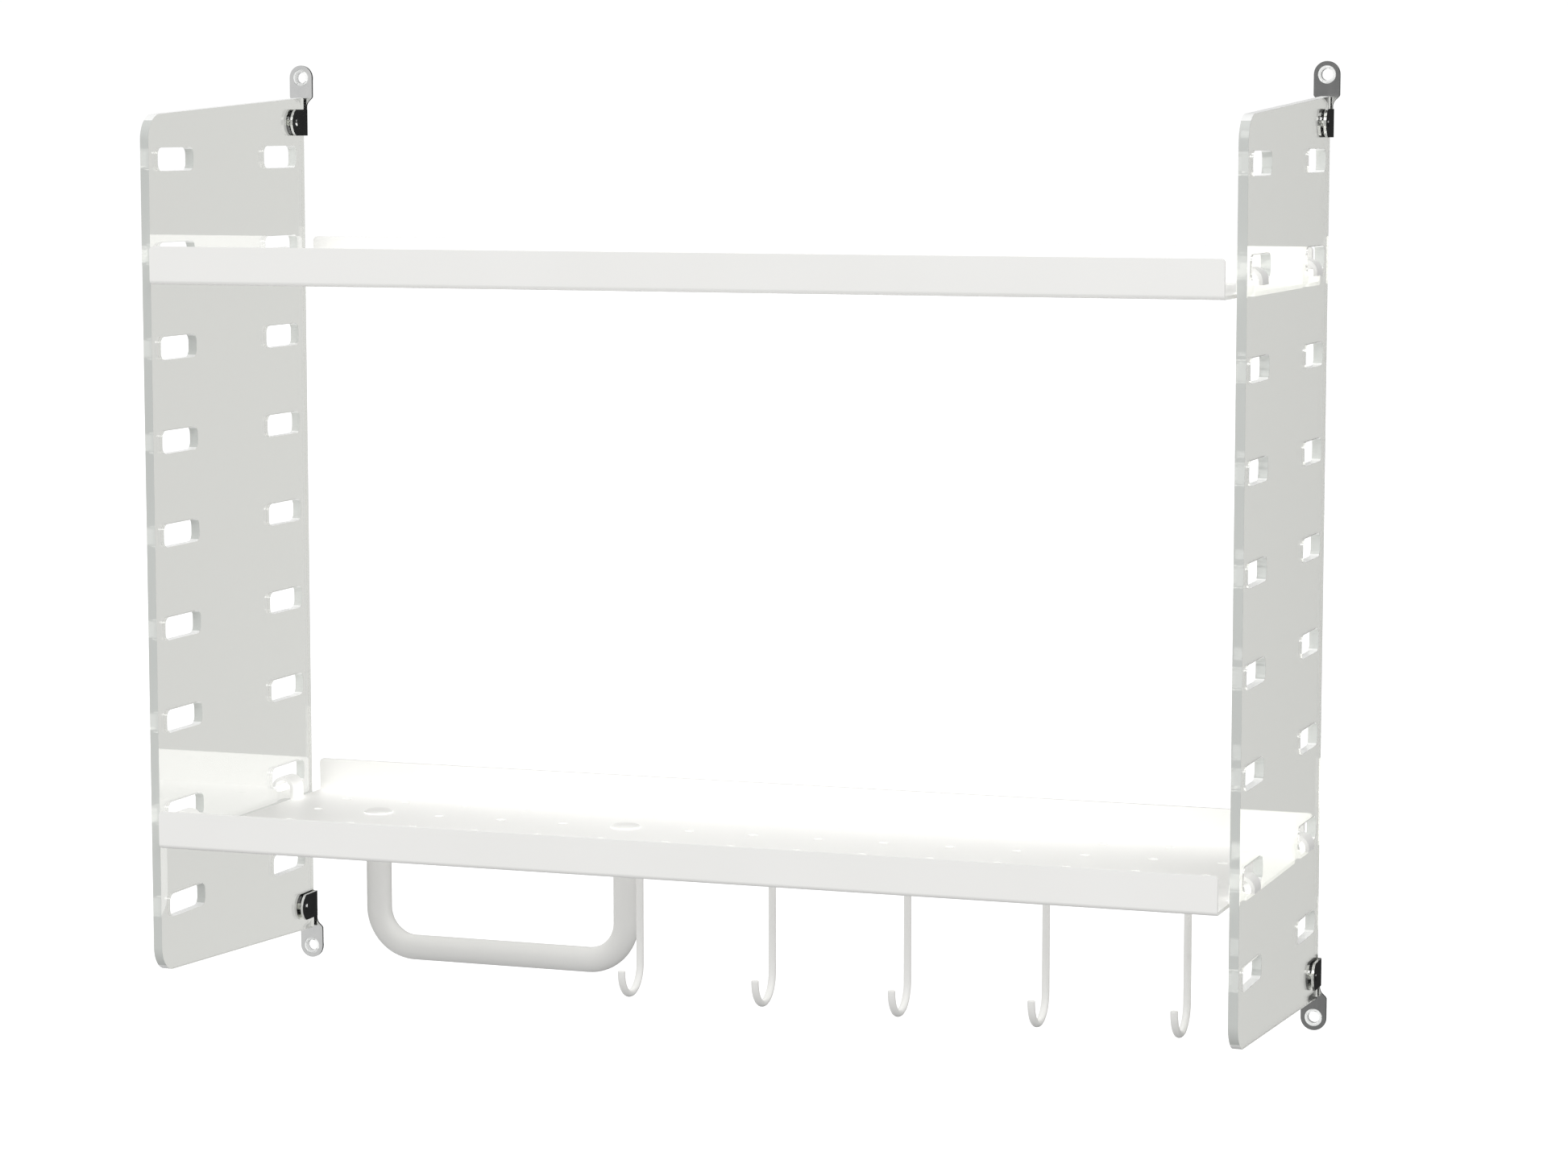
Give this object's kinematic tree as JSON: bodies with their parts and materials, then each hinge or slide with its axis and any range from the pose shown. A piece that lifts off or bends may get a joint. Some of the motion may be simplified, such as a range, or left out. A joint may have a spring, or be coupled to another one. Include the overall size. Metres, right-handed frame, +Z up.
{
  "type": "two-shelf wall rack",
  "caption": "Wall rack with slotted clear side panels, white perforated steel shelves, a U-shaped towel bar, swivelling wire hooks and chromed wall brackets.",
  "frame": {"origin": "centre of the four wall screw positions, on the wall plane", "axes": "+X along the wall to the right, +Y into the wall, +Z up"},
  "size_m": [0.607, 0.2013, 0.5164],
  "materials": {
    "clear_acrylic": "polished clear cast acrylic sheet",
    "white_coat": "white powder coat, fine satin texture",
    "chrome": "bright chrome plate",
    "clear_plastic": "clear moulded plastic"
  },
  "bodies": {
    "side_frames": {"left_panel": "clear_acrylic", "right_panel": "clear_acrylic", "top_left_bracket": "chrome", "top_left_pin": "chrome", "top_left_bushing": "clear_plastic", "top_right_bracket": "chrome", "top_right_pin": "chrome", "top_right_bushing": "clear_plastic", "bottom_left_bracket": "chrome", "bottom_left_pin": "chrome", "bottom_left_bushing": "clear_plastic", "bottom_right_bracket": "chrome", "bottom_right_pin": "chrome", "bottom_right_bushing": "clear_plastic"},
    "upper_shelf": {"upper_shelf": "white_coat"},
    "lower_shelf": {"lower_shelf": "white_coat", "towel_bar": "white_coat", "left_bar_cap": "white_coat", "right_bar_cap": "white_coat"},
    "hook_1": {"hook_1": "white_coat"},
    "hook_2": {"hook_2": "white_coat"},
    "hook_3": {"hook_3": "white_coat"},
    "hook_4": {"hook_4": "white_coat"},
    "hook_5": {"hook_5": "white_coat"}
  },
  "joints": [
    {"name": "upper_shelf_lift", "type": "slide", "parent": "side_frames", "child": "upper_shelf", "axis": [0, 0, 1], "range_m": [0, 0.006]},
    {"name": "lower_shelf_lift", "type": "slide", "parent": "side_frames", "child": "lower_shelf", "axis": [0, 0, 1], "range_m": [0, 0.006]},
    {"name": "hook_1_swivel", "type": "hinge", "parent": "lower_shelf", "child": "hook_1", "pos_m": [-0.03724, -0.14112, -0.15866], "axis": [0, 0, 1], "continuous": true},
    {"name": "hook_2_swivel", "type": "hinge", "parent": "lower_shelf", "child": "hook_2", "pos_m": [0.03724, -0.14112, -0.15866], "axis": [0, 0, 1], "continuous": true},
    {"name": "hook_3_swivel", "type": "hinge", "parent": "lower_shelf", "child": "hook_3", "pos_m": [0.11172, -0.14112, -0.15866], "axis": [0, 0, 1], "continuous": true},
    {"name": "hook_4_swivel", "type": "hinge", "parent": "lower_shelf", "child": "hook_4", "pos_m": [0.1862, -0.14112, -0.15866], "axis": [0, 0, 1], "continuous": true},
    {"name": "hook_5_swivel", "type": "hinge", "parent": "lower_shelf", "child": "hook_5", "pos_m": [0.26068, -0.14112, -0.15866], "axis": [0, 0, 1], "continuous": true}
  ]
}
